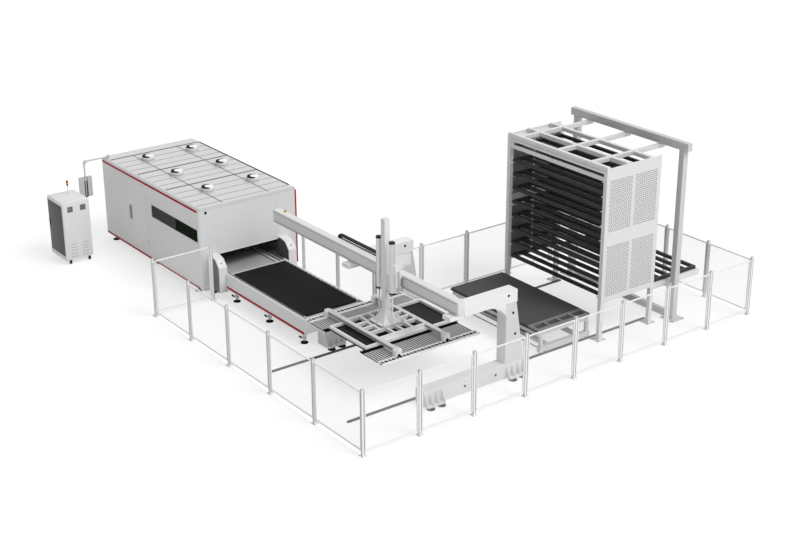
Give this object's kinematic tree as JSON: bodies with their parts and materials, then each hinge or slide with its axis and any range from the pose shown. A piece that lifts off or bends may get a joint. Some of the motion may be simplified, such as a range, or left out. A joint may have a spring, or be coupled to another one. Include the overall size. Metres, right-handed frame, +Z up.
{
  "type": "automatic sheet laser cutting cell",
  "caption": "Enclosed sheet laser cutter with exchange table, beam loader with comb gripper, sheet cart on rails, tray storage tower with lift, chiller cabinet and clear safety fence.",
  "frame": {"origin": "middle of the cell's footprint, on the floor", "axes": "+X from the cutting table across to the storage tower, +Y from the front fence to the cabin's rear, +Z up"},
  "size_m": [11.918, 14.28, 4.46],
  "materials": {
    "white_paint": "satin powder coat, off-white",
    "grey_paint": "satin powder coat, light grey",
    "dark_paint": "satin powder coat, dark grey",
    "red_paint": "semi-gloss red enamel",
    "clear_sheet": "clear polycarbonate sheet",
    "tinted_pane": "dark tinted laser safety pane",
    "steel": "ground steel",
    "bright_cylinder": "anodised tube",
    "black_steel": "matt black",
    "black_rubber": "moulded rubber",
    "black_plastic": "moulded nylon",
    "lamp_plastic": "translucent lamp caps"
  },
  "bodies": {
    "cell": {"fence_posts": "white_paint", "fence_frames": "white_paint", "fence_sheets": "clear_sheet", "cabin_base": "grey_paint", "cabin_walls": "white_paint", "cabin_roof": "white_paint", "roof_hoods": "grey_paint", "red_trim": "red_paint", "side_windows": "tinted_pane", "entry_guards": "white_paint", "linear_guides": "steel", "levelling_feet": "black_rubber", "table_frame": "white_paint", "cabinet_body": "white_paint", "stack_light": "lamp_plastic", "loader_bases": "white_paint", "loader_columns": "white_paint", "loader_arms": "white_paint", "beam": "grey_paint", "energy_chain": "black_plastic", "floor_rails": "steel", "tower_frame": "white_paint", "tower_panels": "white_paint"},
    "side_door": {"side_door": "white_paint"},
    "pallet": {"pallet_frame": "grey_paint", "pallet_slats": "steel", "table_sheet": "black_steel"},
    "bridge": {"bridge": "grey_paint"},
    "bridge_carriage": {"bridge_carriage": "white_paint"},
    "cutting_head": {"cutting_head": "steel"},
    "cabinet_door": {"cabinet_door": "dark_paint"},
    "roller_front": {"roller_front": "black_rubber"},
    "roller_rear": {"roller_rear": "black_rubber"},
    "panel_arm": {"panel_arm": "grey_paint"},
    "panel_box": {"panel_box": "grey_paint"},
    "beam_carriage": {"beam_carriage": "white_paint", "balance_cylinders": "bright_cylinder"},
    "mast": {"mast": "grey_paint"},
    "gripper": {"gripper_frame": "white_paint", "suction_cups": "black_rubber", "held_sheet": "black_steel"},
    "comb_near": {"comb_near": "white_paint"},
    "comb_far": {"comb_far": "white_paint"},
    "cart": {"cart_frame": "white_paint", "cart_pallet": "black_steel", "cart_sheet": "black_steel"},
    "cart_axle_front": {"cart_axle_front": "steel"},
    "cart_axle_rear": {"cart_axle_rear": "steel"},
    "tray_1": {"tray_1": "black_steel"},
    "tray_2": {"tray_2": "black_steel"},
    "tray_3": {"tray_3": "black_steel"},
    "tray_4": {"tray_4": "black_steel"},
    "tray_5": {"tray_5": "black_steel"},
    "tray_6": {"tray_6": "black_steel"},
    "tray_7": {"tray_7": "black_steel"},
    "tray_8": {"tray_8": "black_steel"},
    "tray_9": {"tray_9": "black_steel"},
    "lift": {"lift": "white_paint", "lift_tray": "black_steel"}
  },
  "joints": [
    {"name": "side_door_hinge", "type": "hinge", "parent": "cell", "child": "side_door", "pos_m": [-4.171, 4.67, 1.24], "axis": [0, 0, 1], "range_deg": [0, 100]},
    {"name": "pallet_slide", "type": "slide", "parent": "cell", "child": "pallet", "axis": [0, 1, 0], "range_m": [0, 4.6]},
    {"name": "bridge_slide", "type": "slide", "parent": "cell", "child": "bridge", "axis": [0, -1, 0], "range_m": [-0.3, 3.7]},
    {"name": "bridge_carriage_slide", "type": "slide", "parent": "bridge", "child": "bridge_carriage", "axis": [1, 0, 0], "range_m": [-0.84, 1.14]},
    {"name": "cutting_head_slide", "type": "slide", "parent": "bridge_carriage", "child": "cutting_head", "axis": [0, 0, 1], "range_m": [-0.1, 0.05]},
    {"name": "cabinet_door_hinge", "type": "hinge", "parent": "cell", "child": "cabinet_door", "pos_m": [-5.949, 5.92, 0.96], "axis": [0, 0, 1], "range_deg": [0, 110]},
    {"name": "roller_front_spin", "type": "hinge", "parent": "cell", "child": "roller_front", "pos_m": [-5.554, 5.99, 0.06], "axis": [1, 0, 0], "continuous": true},
    {"name": "roller_rear_spin", "type": "hinge", "parent": "cell", "child": "roller_rear", "pos_m": [-5.554, 6.77, 0.06], "axis": [1, 0, 0], "continuous": true},
    {"name": "panel_arm_swing", "type": "hinge", "parent": "cell", "child": "panel_arm", "pos_m": [-4.069, 6.88, 2.41], "axis": [0, 0, 1], "range_deg": [-60, 40]},
    {"name": "panel_box_turn", "type": "hinge", "parent": "panel_arm", "child": "panel_box", "pos_m": [-4.789, 6.88, 1.995], "axis": [0, 0, 1], "range_deg": [-90, 90]},
    {"name": "beam_carriage_slide", "type": "slide", "parent": "cell", "child": "beam_carriage", "axis": [0, 1, 0], "range_m": [-1.2, 3.72]},
    {"name": "mast_slide", "type": "slide", "parent": "beam_carriage", "child": "mast", "axis": [0, 0, 1], "range_m": [-0.42, 0.3]},
    {"name": "gripper_turn", "type": "hinge", "parent": "mast", "child": "gripper", "pos_m": [-2.869, -4.13, 1.17], "axis": [0, 0, 1], "range_deg": [0, 90]},
    {"name": "comb_near_slide", "type": "slide", "parent": "gripper", "child": "comb_near", "axis": [0, 1, 0], "range_m": [0, 0.52]},
    {"name": "comb_far_slide", "type": "slide", "parent": "gripper", "child": "comb_far", "axis": [0, -1, 0], "range_m": [0, 0.52]},
    {"name": "cart_slide", "type": "slide", "parent": "cell", "child": "cart", "axis": [-1, 0, 0], "range_m": [0, 3]},
    {"name": "cart_axle_front_spin", "type": "hinge", "parent": "cart", "child": "cart_axle_front", "pos_m": [0.421, -4.245, 0.105], "axis": [0, -1, 0], "range_deg": [-10, 2470]},
    {"name": "cart_axle_rear_spin", "type": "hinge", "parent": "cart", "child": "cart_axle_rear", "pos_m": [1.691, -4.245, 0.105], "axis": [0, -1, 0], "range_deg": [-10, 2470]},
    {"name": "tray_1_slide", "type": "slide", "parent": "cell", "child": "tray_1", "axis": [1, 0, 0], "range_m": [0, 1.75]},
    {"name": "tray_2_slide", "type": "slide", "parent": "cell", "child": "tray_2", "axis": [1, 0, 0], "range_m": [0, 1.75]},
    {"name": "tray_3_slide", "type": "slide", "parent": "cell", "child": "tray_3", "axis": [1, 0, 0], "range_m": [0, 1.75]},
    {"name": "tray_4_slide", "type": "slide", "parent": "cell", "child": "tray_4", "axis": [1, 0, 0], "range_m": [0, 1.75]},
    {"name": "tray_5_slide", "type": "slide", "parent": "cell", "child": "tray_5", "axis": [1, 0, 0], "range_m": [0, 1.75]},
    {"name": "tray_6_slide", "type": "slide", "parent": "cell", "child": "tray_6", "axis": [1, 0, 0], "range_m": [0, 1.75]},
    {"name": "tray_7_slide", "type": "slide", "parent": "cell", "child": "tray_7", "axis": [1, 0, 0], "range_m": [0, 1.75]},
    {"name": "tray_8_slide", "type": "slide", "parent": "cell", "child": "tray_8", "axis": [1, 0, 0], "range_m": [0, 1.75]},
    {"name": "tray_9_slide", "type": "slide", "parent": "cell", "child": "tray_9", "axis": [1, 0, 0], "range_m": [0, 1.75]},
    {"name": "lift_slide", "type": "slide", "parent": "cell", "child": "lift", "axis": [0, 0, 1], "range_m": [0, 2.83]}
  ],
  "couplings": [
    {"joint": "comb_far_slide", "follows": "comb_near_slide", "ratio": 1},
    {"joint": "cart_axle_front_spin", "follows": "cart_slide", "rad_per_m": 14.286},
    {"joint": "cart_axle_rear_spin", "follows": "cart_slide", "rad_per_m": 14.286}
  ]
}
